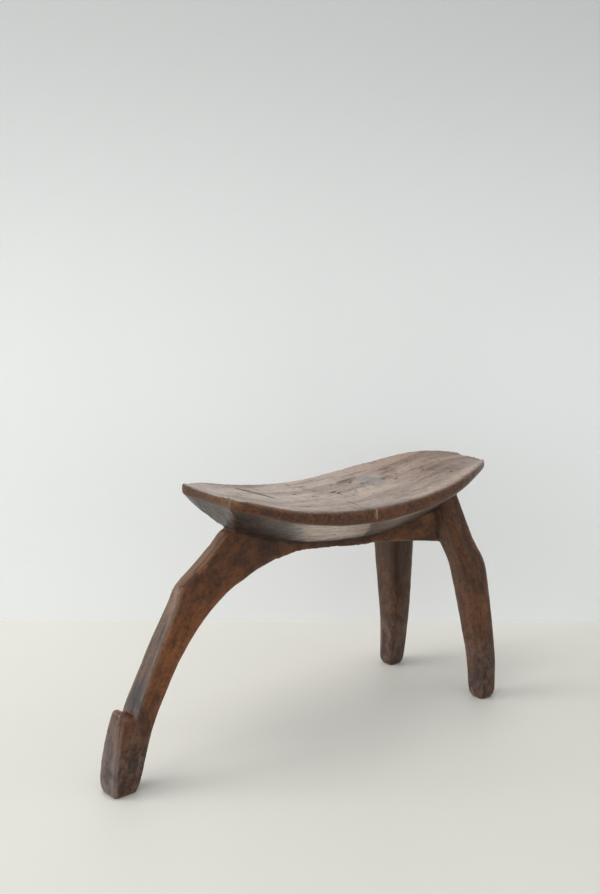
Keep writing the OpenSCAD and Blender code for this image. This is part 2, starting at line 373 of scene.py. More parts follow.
def seat_half(x):
    """Half the width of the seat: a flare at the front, rounded into long sides that close at the rear."""
    u = seat_u(x)
    flare = FRONT_HALF + (SEAT_HALF + 3 - FRONT_HALF) * u / 0.12
    t = clamp((u - 0.52) / 0.48)
    b = SEAT_HALF + 2 - 3 * clamp(u * 4)
    h = clamp(0.5 + (b - flare) / 18)
    rounded = b + (flare - b) * h - 9 * h * (1 - h)
    return rounded * np.maximum(0.03, 1 - t**2.6) ** 0.92


def rim_top(x):
    """Height of the rim, lowest amidships."""
    u = seat_u(x)
    to_front = RIM_FRONT * clamp((LOW_U - u) / LOW_U) ** 1.85
    to_rear = RIM_REAR * clamp((u - LOW_U) / (1 - LOW_U)) ** 1.45
    return RIM_LOW + to_front + to_rear - 20 * clamp((u - 0.8) / 0.2) ** 2


def rim_under(x):
    """Height of the lower edge of the rim band."""
    u = seat_u(x)
    thick = 12 + 4 * ease(0, 0.35, u)
    return rim_top(x) - (thick + (9 - thick) * ease(0.6, 1.0, u))


def keel_z(x):
    """Height of the keel, with the curve and the straight prow that it is made of."""
    base = np.interp(x, keel[:, 0], keel[:, 1])
    slope = (rim_under(FRONT_X) - np.interp(PROW_X, keel[:, 0], keel[:, 1])) / (PROW_X - FRONT_X)
    prow = rim_under(FRONT_X) - slope * (x - FRONT_X)
    return np.minimum(np.maximum(base, prow), rim_under(x)), base, prow


def keel_edge(x):
    """Half the width of the flat along the keel."""
    u, w = seat_u(x), seat_half(x)
    zk, base, prow = keel_z(x)
    rise = np.maximum(0, prow - base) / np.maximum(1, rim_under(x) - base)
    e = np.maximum(np.minimum(10.6, w * 0.5), 9.6 + (w - 9.6) * clamp(rise))
    return np.minimum(w * np.where(u < 0.3, 0.96, 0.6), e)


def hull_z(x, y):
    """Height of the seat's underside in millimetres, carried on level outside its outline."""
    x = clamp(x, FRONT_X, REAR_X)
    w, e, zk, zu = seat_half(x), keel_edge(x), keel_z(x)[0], rim_under(x)
    t = clamp((np.abs(y) - e) / np.maximum(0.5, w - e))
    return zk + (zu - zk) * t


top = ease(0.35, 0.75, N[:, 2]) * is_seat * ease(-6, 3, z - (rim_top(x) - 12))
band = is_seat * (1 - top) * ease(-2.5, 1.5, z - rim_under(x))
under = is_seat * (1 - top) * (1 - band)

# grain: distance along the member, and the two distances across it
arch = catmull([[-94, 202.4], [-64, 210.5], [-32, 214.6], [-8, 212.8], [17, 210.2], [48, 205.5],
                [81, 202.4], [125, 198.5], [168, 194.5]])
front_path = np.array([[-262, 0, -10], [-252, 0, 44], [-235, 0, 80], [-205, 0, 133], [-168, 0, 178],
                       [-130, 0, 208], [-80, 0, 225], [-20, 0, 222], [81, 0, 210], [200, 0, 208]], float)
left_path = np.array([[209, -74, -10], [211, -69, 45], [205, -63, 97], [196, -57, 151], [190, -54, 176],
                      [178, -48, 202], [164, -41, 255], [150, -36, 310]], float)
right_path = left_path * [1, -1, 1] - [8, 0, 0]
member_paths = {"front_leg": front_path, "rear_leg_left": left_path, "rear_leg_right": right_path}
FORK_ANGLE = math.radians(28)


def along_path(p, path):
    """Arc length and the two offsets of each point from a polyline."""
    seg = path[1:] - path[:-1]
    ln = np.linalg.norm(seg, axis=1)
    start = np.concatenate([[0], np.cumsum(ln)])
    best = np.full(len(p), 1e9)
    s, q = np.zeros(len(p)), np.zeros((len(p), 3))
    for k in range(len(seg)):
        t = clamp(((p - path[k]) @ seg[k]) / ln[k] ** 2)
        c = path[k] + t[:, None] * seg[k]
        d = np.linalg.norm(p - c, axis=1)
        m = d < best
        best[m], s[m] = d[m], (start[k] + t * ln[k])[m]
        q[m] = (p - c)[m]
    return s, q


def grain_of(P, who_k):
    """Grain coordinates in metres for points in metres: along, sideways and in the bending plane."""
    p = P / MM
    g = np.array(p)
    g[:, 2] = p[:, 2] + 0.0009 * (p[:, 0] - 60) ** 2 * 0.2
    for name, path in member_paths.items():
        k = names.index(name)
        m = who_k == k
        if m.any():
            s, q = along_path(p[m], path)
            bend = np.sign(q[:, 0] + q[:, 2] * 0.3) * np.hypot(q[:, 0], q[:, 2])
            g[m] = np.stack([s + 37 * k, q[:, 1] + 300 * k, bend], 1)
    m = who_k == names.index("crotch_block")
    if m.any():
        fore, out = p[m, 0], np.abs(p[m, 1])
        c, s = math.cos(FORK_ANGLE), math.sin(FORK_ANGLE)
        g[m] = np.stack([fore * c + out * s, -fore * s + out * c + 70 * np.sign(p[m, 1]), p[m, 2]], 1)
    return g * MM


G = grain_of(V, who) / MM  # millimetres here

# ---------------------------------------------------------------- wear, tool marks and grain relief
def lumps(p, sizes, seed):
    """Noise whose lumps measure about sizes millimetres along the three axes."""
    return gnoise(p / np.array(sizes, float), seed)


d = np.zeros(len(V))  # millimetres outwards
P = V / MM
# slow hand-carved unevenness
d += 0.45 * fbm(P / 46.0, 2, 11) * (1 - 0.45 * top)
# shallow knife facets on the members: cells stretched along the grain
d -= (0.42 * np.abs(lumps(G, (26, 11, 11), 21)) - 0.1) * (1 - is_seat)
# tool ripples on the boat-shaped underside
d += 0.30 * lumps(P, (17, 5.5, 7), 31) * under * ease(0, 6, rim_under(x) - z)
d += 0.20 * lumps(P, (9.0, 3.2, 4.0), 32) * under
# rim band: end of the board, rough
d += 0.22 * lumps(P, (5.0, 5.0, 6.5), 41) * band
d += 0.12 * gnoise(P / 2.6, 42) * band
# sat-on top: long soft grain ridges
d += 0.16 * lumps(P, (70, 4.6, 40), 51) * top
d += 0.10 * lumps(P, (28, 2.6, 40), 52) * top
# members: grain ridges and a dented surface
d += 0.12 * lumps(G, (34, 3.1, 3.1), 61) * (1 - is_seat)
d += 0.14 * fbm(P / 7.5, 2, 62) * (1 - is_seat)
# small dents everywhere
dent = clamp(gnoise(P / 6.0, 71) - 0.52) * 1.6
d -= dent * (0.6 - 0.35 * top)
# arrises are worn down unevenly
S = smooth(V, E, 14)
conv = ((V - S) * N).sum(1) / MM
wear_noise = 0.5 + 0.5 * fbm(P / 15.0, 2, 81)
d -= clamp(conv / 1.1) * (0.05 + 0.55 * wear_noise**2)
# the far rear rim stands a little higher
lift = 2.1 * MM * ease(150, 225, x) * (1 - ease(256, 272, x)) * ease(2, 26, y) * is_seat
V[:, 2] += lift * ease(-12, -1, z - rim_top(x))
# dents in the rim: place, radius and depth in millimetres
RIM_DENTS = ((263, 19, 5.0, 2.6), (-138, -44, 7, 1.0), (-133, 50, 6, 0.7), (196, -62, 7, 0.8),
             (20, 79, 6, 0.6), (8, -78, 2.5, 1.6), (13, -77, 2.0, 1.4))
for dent_x, dent_y, radius, depth in RIM_DENTS:
    rr = np.hypot(x - dent_x, y - dent_y) / radius
    d -= depth * np.exp(-rr * rr * 1.6) * ease(-14, -2, z - rim_top(x)) * is_seat

# the far front corner stands out a little, and the rear tip is worn down
tip = ease(-95, FRONT_X, x) * ease(8, FRONT_HALF, y) * is_seat
V[:, 0] -= 1.5 * MM * tip
V[:, 1] += 1.5 * MM * tip
d -= 0.8 * np.exp(-(((x - FRONT_X) / 4) ** 2) - ((y - FRONT_HALF) / 5) ** 2) * is_seat
d -= 1.3 * ease(270, 281, x) * ease(-8, 2, z - rim_top(x)) * is_seat
# the toe's top edge is a worn lip
d += 0.9 * np.exp(-(((x + 259) / 9) ** 2) - ((z - 87) / 3.2) ** 2)
V = V + N * (d * MM)[:, None]
# the spine has a ragged lower edge
sp = (x > -50) & (x < 120) & (z < np.interp(x, arch[:, 0], arch[:, 1]) + 4)
ragged = 0.8 * lumps(P[sp], (5.0, 9.0, 9.0), 91) - 0.3 * clamp(gnoise(P[sp] / 3.0, 92) - 0.3) * 3
V[sp, 2] += ragged * MM
V = smooth(V, E, 1, 0.25)
# the feet stand flat on the floor
foot = V[:, 2] < 1.1 * MM
V[foot, 2] = 0
V[:, 2] = np.maximum(V[:, 2], 0)
set_verts(body.data, V)

# masks for the materials, kept on the merged surface and read back by each piece
V, N, E = arrays(body.data)
S = smooth(V, E, 8)
c1 = ((V - S) * N).sum(1) / MM
S2 = smooth(V, E, 40)
c2 = ((V - S2) * N).sum(1) / MM
wear = clamp(smooth((clamp(c1 / 0.55) * 0.65 + clamp(c2 / 2.4) * 0.45)[:, None], E, 1)[:, 0])
cav = clamp(smooth((clamp(-c1 / 0.5) * 0.5 + clamp(-c2 / 2.2) * 0.7)[:, None], E, 1)[:, 0])
masks = {"wear": wear, "cav": cav, "top": top, "band": band, "under": under}
tree = KDTree(len(V))
for i, p in enumerate(V):
    tree.insert(p, i)
tree.balance()

# ---------------------------------------------------------------- cutting along the joints
xs = np.concatenate([[-175, -160, -150], np.linspace(FRONT_X, REAR_X, 72), [284, 300]])
rings = []
for s in xs:
    xc = float(np.clip(s, FRONT_X, REAR_X))
    w, e = float(seat_half(xc)), float(keel_edge(xc))
    near_bevel = -w + (w - e) * np.linspace(0.12, 1, 6)
    far_bevel = w - (w - e) * np.linspace(0.88, 0, 6)
    ys = [[-100.0], -w - np.array([6.0, 0.3]), near_bevel, e * np.linspace(-0.6, 0.6, 3)]
    ys = np.concatenate([*ys, [e], far_bevel, w + np.array([0.6, 6.0]), [100.0]])
    ys = np.maximum.accumulate(ys + np.arange(len(ys)) * 1e-4)
    zs = hull_z(np.full(len(ys), xc), ys) - 0.8
    ring = np.stack([np.full(len(ys), s), ys, zs], 1)
    ring = np.concatenate([ring, [[s, 100.5, 345], [s, -100.5, 345]]])
    rings.append(ring * MM)
above = loft("above", rings)

seat = copy(body, "seat")
boolean(seat, above, "INTERSECT", keep_b=True)
boolean(body, above, "DIFFERENCE")
# limits of the cutters in metres, and the planes at the two ends of the spine
FAR, WIDE, SIDE, LOW, HIGH = 400 * MM, 0.1, 0.2, -0.02, 0.35
SPINE_FRONT, SPINE_REAR = -58 * MM, 81 * MM


def part(name, cutter):
    """What the cutter holds of the carving."""
    o = copy(body, name)
    boolean(o, cutter, "INTERSECT")
    return o


def slab(x0, x1):
    """Everything between two planes across the stool."""
    return box("c", (x0, -WIDE, LOW), (x1, WIDE, HIGH))


def wedge(name, side):
    """Everything on the outer side of the sloping joint between the crotch block and a rear leg."""
    def joint_y(height):
        return side * (34.0 - 0.155 * (height / MM - 198)) * MM

    def ring(at):
        outer = side * SIDE
        low = [(at, joint_y(LOW), LOW), (at, outer, LOW)]
        return np.array(low + [(at, outer, HIGH), (at, joint_y(HIGH), HIGH)])

    return loft(name, [ring(SPINE_REAR), ring(FAR)])


front_leg = part("front_leg_w", slab(-FAR, SPINE_FRONT))
spine = part("spine_w", slab(SPINE_FRONT, SPINE_REAR))
leg_l = part("rear_leg_left_w", wedge("c", -1))
leg_r = part("rear_leg_right_w", wedge("c", 1))
crotch = part("crotch_block_w", slab(SPINE_REAR, FAR))
boolean(crotch, wedge("c", -1), "DIFFERENCE")
boolean(crotch, wedge("c", 1), "DIFFERENCE")
drop(body)
for o in (seat, front_leg, spine, leg_l, leg_r, crotch):
    keep_largest(o)

# blind tenons and their mortises
GAP, LOOSE = 1.0, 0.1  # millimetres of clearance at a blind end, and round a tenon


def joint(male, female, a, b, r):
    """A round tenon from a to b, in millimetres, on male, and its mortise in female."""
    a, b = Vector(a), Vector(b)
    u = (b - a).normalized()
    boolean(female, rod("m", (a - u * 2) * MM, (b + u * GAP) * MM, (r + LOOSE) * MM), "DIFFERENCE")
    boolean(male, rod("t", a * MM, b * MM, r * MM), "UNION")


joint(front_leg, seat, (-98, 0, 226), (-98, 0, 260), 6)
for o, sgn in ((leg_l, -1), (leg_r, 1)):
    joint(o, seat, (169, sgn * 41, 222), (169, sgn * 41, 255), 8)
    joint(crotch, o, (170, sgn * 26, 211), (170, sgn * 48, 211), 6)
joint(spine, front_leg, (-50, 0, 219.5), (-72, 0, 219.5), 3)
joint(spine, crotch, (73, 0, 207.7), (95, 0, 207.7), 3)

TONGUE_X = np.linspace(-46, 69, 24)
TONGUE_HALF, TONGUE_DOWN, TONGUE_UP = 4, 3, 9  # half its width, and how far it reaches from the keel


def tongue(name, gap, grow):
    """The spine's tongue along the keel, or with clearances the groove for it."""
    out = []
    last = len(TONGUE_X) - 1
    for k, s in enumerate(TONGUE_X):
        keel_at = float(keel_z(np.array([s]))[0][0])
        at = s + (grow if k == last else -grow if k == 0 else 0)
        half = TONGUE_HALF + gap * LOOSE
        low, high = keel_at - TONGUE_DOWN, keel_at + TONGUE_UP + gap
        out.append(np.array([(at, -half, low), (at, half, low), (at, half, high), (at, -half, high)]) * MM)
    return loft(name, out)


boolean(seat, tongue("t", GAP, GAP), "DIFFERENCE")
boolean(spine, tongue("t", 0.0, 0), "UNION")

# ---------------------------------------------------------------- cracks, worm holes and chips in the seat
top_tree = BVHTree.FromPolygons([v.co for v in seat.data.vertices], [p.vertices for p in seat.data.polygons])


def surf(at_x, at_y):
    """Height of the seat's top in millimetres."""
    h = top_tree.ray_cast(Vector((at_x * MM, at_y * MM, 0.4)), Vector((0, 0, -1)))
    return h[0].z / MM


def slit(points, width, depth, seed):
    """A wedge-shaped crack along points (x, y) on the top of the seat."""
    pts = catmull([list(p) for p in points], 6)
    rng = np.random.default_rng(seed)
    rings = []
    n = len(pts)
    for k, at in enumerate(pts):
        size = math.sin(math.pi * min(1, max(0, 0.04 + 0.92 * (k / (n - 1))))) ** 0.6
        dx, dy = pts[min(n - 1, k + 1)] - pts[max(0, k - 1)]
        ln = math.hypot(dx, dy)
        across = np.array([-dy / ln, dx / ln])
        at = at + across * rng.uniform(-0.25, 0.25)
        w = width * size * rng.uniform(0.7, 1.2) * 0.5 + 0.06
        high = surf(*at) + 1.5
        low = surf(*at) - depth * size * rng.uniform(0.85, 1.1) - 0.1
        wide, thin = across * w * 1.5, across * 0.1
        ring = [(*(at - wide), high), (*(at - thin), low), (*(at + thin), low), (*(at + wide), high)]
        rings.append(np.array(ring) * MM)
    boolean(seat, loft("slit", rings), "DIFFERENCE")


# each crack: its points, width and depth in millimetres
FRONT_SLIT = [(-62, 60), (-50, 50), (-43.7, 44.2), (-40.3, 37.7), (-36, 27)]
SLITS = (
    (FRONT_SLIT, 4.6, 8.0),
    ([(44, -2), (40.6, -13), (35.8, -30), (26, -51), (17, -66), (11, -76)], 1.2, 5.0),
    ([(-118, 20), (-96, 21), (-72, 18)], 0.9, 2.5),
    ([(140, -20), (168, -17), (196, -21)], 0.6, 2.2),
    ([(-20, -52), (2, -53), (30, -49)], 0.5, 2.0),
    ([(120, 55), (150, 50), (178, 44)], 0.6, 2.0),
)
for k, (points, width, depth) in enumerate(SLITS):
    slit(points, width, depth, k + 1)


def pit(at_x, at_y, lx, ly, depth, seed, turn=0.0):
    """A small irregular hollow: a worm hole or a flake lost from the surface."""
    bm = bmesh.new()
    bmesh.ops.create_icosphere(bm, subdivisions=3, radius=1)
    q = Matrix.Rotation(turn, 3, "Z")
    centre = Vector((at_x, at_y, surf(at_x, at_y)))
    for v in bm.verts:
        p = np.array([[v.co.x, v.co.y, v.co.z]])
        k = 1 + 0.28 * float(gnoise(p * 1.7 + seed * 3.1, seed)[0])
        v.co = q @ Vector((v.co.x * lx * k, v.co.y * ly * k, v.co.z * depth * k)) + centre
        v.co *= MM
    me = bpy.data.meshes.new("pit")
    bm.to_mesh(me)
    bm.free()
    o = bpy.data.objects.new("pit", me)
    COLL.objects.link(o)
    boolean(seat, o, "DIFFERENCE")


# each hollow: where it is, half its length and width, and its depth, in millimetres
PITS = (
    (53, 26.5, 5.5, 1.5, 1.5), (57, 21, 4.5, 1.3, 1.4), (56, 14.5, 2.0, 1.2, 1.5),
    (55, 7, 1.7, 1.2, 1.8), (65.5, 4, 2.0, 1.1, 1.6), (74, 20.5, 3.0, 0.9, 0.8),
    (79, 18, 2.6, 0.9, 0.8), (76, 11.5, 2.4, 0.9, 0.8), (91, 39, 2.8, 1.2, 1.0),
    (100, 27.6, 3.4, 1.6, 0.8), (138, 10, 3.6, 1.4, 1.0), (128, 20, 2.4, 1.0, 0.8),
    (21, 23, 3.8, 1.2, 1.2), (4.4, 37.6, 4.2, 1.1, 1.2), (3.3, 66, 3.0, 1.0, 0.9),
    (190, -30, 4.0, 1.5, 1.1), (180, 7, 3.2, 1.1, 0.9), (-25, -20, 2.4, 0.9, 0.9),
    (-70, -30, 2.0, 0.8, 0.8), (30, -40, 1.3, 1.0, 1.6), (110, -48, 1.2, 1.0, 1.6),
    (150, 40, 1.3, 1.0, 1.5), (215, 14, 2.2, 0.9, 0.8), (-100, 45, 1.2, 0.9, 1.4),
    (14.5, -71.5, 2.2, 1.3, 2.0), (-15, 12, 1.2, 0.9, 1.3), (85, -8, 1.2, 0.9, 1.4),
    (66, 45, 2.6, 0.9, 0.8), (8, 3, 2.8, 0.8, 0.7), (232, -12, 1.8, 0.9, 0.8),
)
rng = np.random.default_rng(7)
for k, row in enumerate(PITS):
    pit(*row, k + 1, rng.uniform(-0.25, 0.25))


# ---------------------------------------------------------------- materials
class Nodes:
    """Small shorthand for building a node tree."""

    def __init__(self, name):
        self.mat = bpy.data.materials.new(name)
        self.mat.use_nodes = True
        self.t = self.mat.node_tree
        self.t.nodes.clear()

    def add(self, kind, **kw):
        n = self.t.nodes.new(kind)
        for k, v in kw.items():
            setattr(n, k, v)
        return n

    def link(self, a, b):
        self.t.links.new(a, b)

    def put(self, sock, v):
        if hasattr(v, "node"):
            self.link(v, sock)
        else:
            sock.default_value = v

    def attr(self, name, vector=False):
        n = self.add("ShaderNodeAttribute", attribute_name=name)
        return n.outputs["Vector" if vector else "Fac"]

    def scale(self, vec, s, offset=(0, 0, 0)):
        n = self.add("ShaderNodeMapping")
        self.link(vec, n.inputs["Vector"])
        n.inputs["Scale"].default_value = s
        n.inputs["Location"].default_value = offset
        return n.outputs[0]

    def noise(self, vec, scale=1.0, detail=4.0, rough=0.55, distort=0.0):
        n = self.add("ShaderNodeTexNoise")
        self.link(vec, n.inputs["Vector"])
        n.inputs["Scale"].default_value = scale
        n.inputs["Detail"].default_value = detail
        n.inputs["Roughness"].default_value = rough
        n.inputs["Distortion"].default_value = distort
        return n.outputs["Fac"]

    def voronoi(self, vec, scale=1.0):
        n = self.add("ShaderNodeTexVoronoi", feature="F1")
        self.link(vec, n.inputs["Vector"])
        n.inputs["Scale"].default_value = scale
        return n.outputs["Distance"]

    def ramp(self, fac, lo, hi, a=0.0, b=1.0):
        n = self.add("ShaderNodeMapRange", interpolation_type="SMOOTHSTEP")
        self.put(n.inputs["Value"], fac)
        n.inputs["From Min"].default_value = lo
        n.inputs["From Max"].default_value = hi
        n.inputs["To Min"].default_value = a
        n.inputs["To Max"].default_value = b
        return n.outputs["Result"]

    def math(self, op, a, b=0.0, clamp_it=False):
        n = self.add("ShaderNodeMath", operation=op, use_clamp=clamp_it)
        self.put(n.inputs[0], a)
        self.put(n.inputs[1], b)
        return n.outputs[0]

    def times(self, a, *others):
        for b in others:
            a = self.math("MULTIPLY", a, b)
        return a

    def mix(self, fac, a, b):
        n = self.add("ShaderNodeMix", data_type="RGBA")
        self.put(n.inputs[0], fac)
        self.put(n.inputs[6], a if hasattr(a, "node") else (*a, 1))
        self.put(n.inputs[7], b if hasattr(b, "node") else (*b, 1))
        return n.outputs[2]


MASKS = ("wear", "cav", "top", "band", "under", "polish_reflection", "stain", "rear", "polish_sheen", "ahead", "front_patina_sheen", "foot",
         "black", "mid_orange", "chip", "arris", "beside", "upface", "shade", "crack", "lip")


class Wood(Nodes):
    """The patterns and masks that all parts of the wood share; scales are per metre."""

    def __init__(self, name):
        super().__init__(name)
        self.grain = self.attr("grain", True)
        self.pos = self.add("ShaderNodeTexCoord").outputs["Object"]
        self.on = {mask: self.attr(mask) for mask in MASKS}
        self.fine = self.along((22, 620, 620), 5, 0.62)
        self.streak = self.along((7, 150, 150), 5, 0.6, 0.3)
        self.broad = self.along((3.2, 34, 34), 4, 0.55, 0.6)
        self.mottle = self.along((70, 190, 190), 5, 0.62)
        self.cloud = self.along((13, 34, 34), 5, 0.6, 0.4)
        self.cloud2 = self.along((26, 60, 60), 6, 0.62, 0.6, (3, 7, 1))
        self.patch = self.along((60, 110, 110), 6, 0.66, 0.5, (1, 5, 2))
        self.blotch = self.noise(self.pos, 30, 6, 0.62, 0.5)
        self.speck = self.noise(self.pos, 620, 3, 0.6)
        self.speck2 = self.noise(self.pos, 260, 4, 0.65)
        self.freckle = self.noise(self.pos, 240, 5, 0.7)
        self.hole = self.voronoi(self.pos, 150)

    def along(self, scale, detail, rough=0.55, distort=0.0, offset=(0, 0, 0)):
        """Noise stretched along the grain."""
        return self.noise(self.scale(self.grain, scale, offset), 1, detail, rough, distort)

    def layers(self, colour, *rows):
        """Colours laid over one another; each row is a mask and the colour that it brings in."""
        for mask, tint in rows:
            colour = self.mix(mask, colour, tint)
        return colour


def member_colour(k):
    """Dark red-brown patina, blotched rather than streaked."""
    on = k.on
    c = k.layers(
        k.mix(k.ramp(k.cloud, 0.34, 0.64), (0.056, 0.0190, 0.0066), (0.135, 0.0440, 0.0128)),
        (k.ramp(k.cloud2, 0.48, 0.70, 0, 0.65), (0.190, 0.066, 0.019)),
        # a lighter orange band round the middle of the front leg
        (k.times(on["mid_orange"], 0.70), (0.265, 0.088, 0.023)),
        (k.ramp(k.patch, 0.56, 0.30, 0, 0.72), (0.030, 0.0120, 0.0056)),
        (k.ramp(k.blotch, 0.50, 0.74, 0, 0.62), (0.024, 0.0115, 0.0066)),
        (k.ramp(k.patch, 0.52, 0.74, 0, 0.40), (0.215, 0.088, 0.030)),
        (k.ramp(k.freckle, 0.52, 0.32, 0, 0.60), (0.024, 0.0105, 0.0055)),
        (k.ramp(k.freckle, 0.56, 0.70, 0, 0.35), (0.230, 0.110, 0.045)),
        (k.ramp(k.streak, 0.44, 0.28, 0, 0.35), (0.028, 0.0125, 0.0070)),
        (k.ramp(k.fine, 0.46, 0.28, 0, 0.50), (0.018, 0.0085, 0.0050)),
    )
    # greyer, streaked front faces: darker patina with a painted sheen; purplish toe and feet, the toe's front
    # faces lightened as a painted sheen; black above the toe, its blue tint a painted reflection
    grey = k.mix(k.ramp(k.streak, 0.34, 0.64), (0.034, 0.021, 0.015), (0.130, 0.080, 0.054))
    grey = k.mix(k.ramp(k.freckle, 0.50, 0.36, 0, 0.5), grey, (0.020, 0.012, 0.009))
    plum = k.mix(k.ramp(k.patch, 0.40, 0.62), (0.034, 0.0190, 0.0150), (0.140, 0.078, 0.058))
    plum = k.mix(k.ramp(k.freckle, 0.50, 0.38, 0, 0.6), plum, (0.014, 0.009, 0.008))
    return k.layers(
        c,
        # painted sheen: faces turned to the window greyed, over darker patina
        (k.times(on["front_patina_sheen"], 0.85), grey),
        (k.times(on["foot"], k.ramp(k.blotch, 0.30, 0.60, 0.35, 0.95)), plum),
        # painted sheen: the toe's front faces lighter and greyer
        (k.times(on["foot"], on["front_patina_sheen"], k.ramp(k.patch, 0.36, 0.62, 0.15, 0.8)), (0.135, 0.098, 0.088)),
        (k.times(on["upface"], k.ramp(k.streak, 0.34, 0.60, 0.35, 0.95)), (0.190, 0.106, 0.062)),
        (on["shade"], (0.018, 0.0095, 0.0065)),
        # near-black above the toe, its blue tint a painted reflection
        (k.times(on["black"], k.ramp(k.streak, 0.66, 0.40, 0.35, 0.95)), (0.014, 0.013, 0.015)),
    )


def top_colour_and_sheen(k):
    """The seat's top: rubbed brown wood lightened and greyed as a painted sheen, with long streaks and pores,
    browner at the rear.
    """
    on = k.on
    # painted sheen: both tones are lighter and greyer than the wood, for the wall's reflection on the top
    front = k.mix(k.ramp(k.broad, 0.36, 0.66), (0.240, 0.172, 0.134), (0.445, 0.356, 0.298))
    back = k.mix(k.ramp(k.broad, 0.36, 0.66), (0.178, 0.112, 0.080), (0.340, 0.240, 0.187))
    pore = k.voronoi(k.scale(k.grain, (60, 420, 420)), 1)
    pore_gate = k.ramp(k.along((24, 60, 60), 3), 0.48, 0.60)
    return k.layers(
        k.mix(on["rear"], front, back),
        (k.ramp(k.streak, 0.45, 0.28, 0, 0.80), (0.085, 0.048, 0.034)),
        (k.ramp(k.fine, 0.54, 0.28, 0, 0.50), (0.070, 0.042, 0.030)),
        (k.ramp(k.blotch, 0.52, 0.68, 0, 0.45), (0.095, 0.054, 0.038)),
        (k.times(on["stain"], k.ramp(k.streak, 0.68, 0.36, 0.35, 1.0)), (0.040, 0.024, 0.018)),
        # painted reflection: a blue-grey patch on the polished spot
        (k.times(on["polish_reflection"], k.ramp(k.mottle, 0.64, 0.36, 0.30, 0.85)), (0.170, 0.168, 0.172)),
        (k.times(on["lip"], 0.55), (0.42, 0.33, 0.27)),
        (k.times(on["crack"], 0.92), (0.020, 0.013, 0.011)),
        (k.times(k.ramp(pore, 0.28, 0.13, 0, 0.95), pore_gate), (0.022, 0.012, 0.009)),
    )


def rim_colour(k):
    """The rim band: orange-brown, speckled."""
    return k.layers(
        k.mix(k.ramp(k.speck2, 0.38, 0.64), (0.034, 0.0108, 0.0036), (0.122, 0.0360, 0.0086)),
        (k.ramp(k.cloud2, 0.50, 0.70, 0, 0.60), (0.182, 0.056, 0.0125)),
        (k.ramp(k.speck, 0.53, 0.66, 0, 0.6), (0.222, 0.084, 0.026)),
        (k.ramp(k.speck, 0.45, 0.34, 0, 0.85), (0.014, 0.008, 0.006)),
        (k.ramp(k.blotch, 0.52, 0.68, 0, 0.6), (0.030, 0.015, 0.009)),
    )


def underside_colour(k):
    """A pale polished patch, painted as a reflection of the floor; dark mottled wood ahead of it, greyed as a
    painted sheen where it faces forward; brown behind.
    """
    on = k.on
    polish_sheen = k.mix(k.ramp(k.streak, 0.32, 0.60), (0.250, 0.172, 0.132), (0.490, 0.375, 0.300))
    polish_sheen = k.mix(k.ramp(k.mottle, 0.46, 0.32, 0, 0.6), polish_sheen, (0.110, 0.075, 0.056))
    dark = k.mix(k.ramp(k.cloud2, 0.46, 0.68), (0.012, 0.0058, 0.0032), (0.050, 0.0175, 0.0060))
    # painted sheen: faces turned forward under the seat are greyer
    facing = k.mix(k.ramp(k.streak, 0.34, 0.64), (0.027, 0.022, 0.018), (0.072, 0.060, 0.052))
    dark = k.mix(k.ramp(on["front_patina_sheen"], 0.05, 0.28), dark, facing)
    return k.layers(
        k.mix(k.ramp(k.streak, 0.36, 0.64), (0.060, 0.037, 0.026), (0.150, 0.100, 0.073)),
        (k.ramp(k.blotch, 0.52, 0.70, 0, 0.6), (0.026, 0.016, 0.012)),
        # painted reflection: the floor seen in the polished patch
        (k.times(on["polish_sheen"], k.ramp(k.mottle, 0.30, 0.52, 0.55, 1.0)), polish_sheen),
        (k.times(on["ahead"], k.ramp(k.mottle, 0.70, 0.36, 0.6, 1.0)), dark),
    )


def wood_colour(k, seat_like):
    """The four woods by place, then worn arrises, a painted highlight on the arrises of the feet, chips,
    darkening in the hollows, and black specks.
    """
    on = k.on
    rub_most, rub_tint = (0.40, (0.210, 0.085, 0.034)) if seat_like else (0.60, (0.250, 0.110, 0.046))
    worn = k.ramp(k.noise(k.pos, 70, 5, 0.65), 0.40, 0.66)
    rub = k.ramp(k.noise(k.pos, 45, 5, 0.6), 0.42, 0.62, 0, rub_most)
    hole_gate = k.ramp(k.noise(k.pos, 14, 2), 0.50, 0.64)
    return k.layers(
        member_colour(k),
        (on["under"], underside_colour(k)),
        (on["band"], rim_colour(k)),
        (on["top"], top_colour_and_sheen(k)),
        (k.times(k.ramp(on["wear"], 0.45, 1.0, 0, 0.45), worn), (0.235, 0.098, 0.038)),
        (k.times(on["beside"], 0.75), (0.014, 0.008, 0.006)),
        (k.times(on["arris"], rub), rub_tint),
        # painted highlight: a pale glint along the arrises of the toe and feet
        (k.times(on["arris"], on["foot"], 0.5), (0.215, 0.175, 0.165)),
        (k.times(on["chip"], 0.9), (0.42, 0.27, 0.15)),
        # darker in the hollows
        (k.ramp(on["cav"], 0.16, 0.80, 0, 0.90), (0.010, 0.006, 0.005)),
        (k.times(k.ramp(k.hole, 0.13, 0.07, 0, 0.9), hole_gate), (0.008, 0.006, 0.005)),
    )


def wood_roughness(k):
    """Handled wood is satin, the hollows are dull."""
    on = k.on
    r = k.ramp(k.blotch, 0.30, 0.72, 0.36, 0.52)
    r = k.math("ADD", r, k.ramp(k.speck2, 0.35, 0.70, -0.05, 0.07))
    r = k.math("ADD", r, k.times(on["cav"], 0.25))
    r = k.math("ADD", r, k.times(on["band"], 0.14))
    r = k.math("SUBTRACT", r, k.times(on["top"], 0.03))
    r = k.math("SUBTRACT", r, k.times(on["polish_sheen"], on["under"], 0.10))
    r = k.math("SUBTRACT", r, k.times(on["arris"], 0.12))
    return k.math("SUBTRACT", r, k.times(on["foot"], 0.10), True)


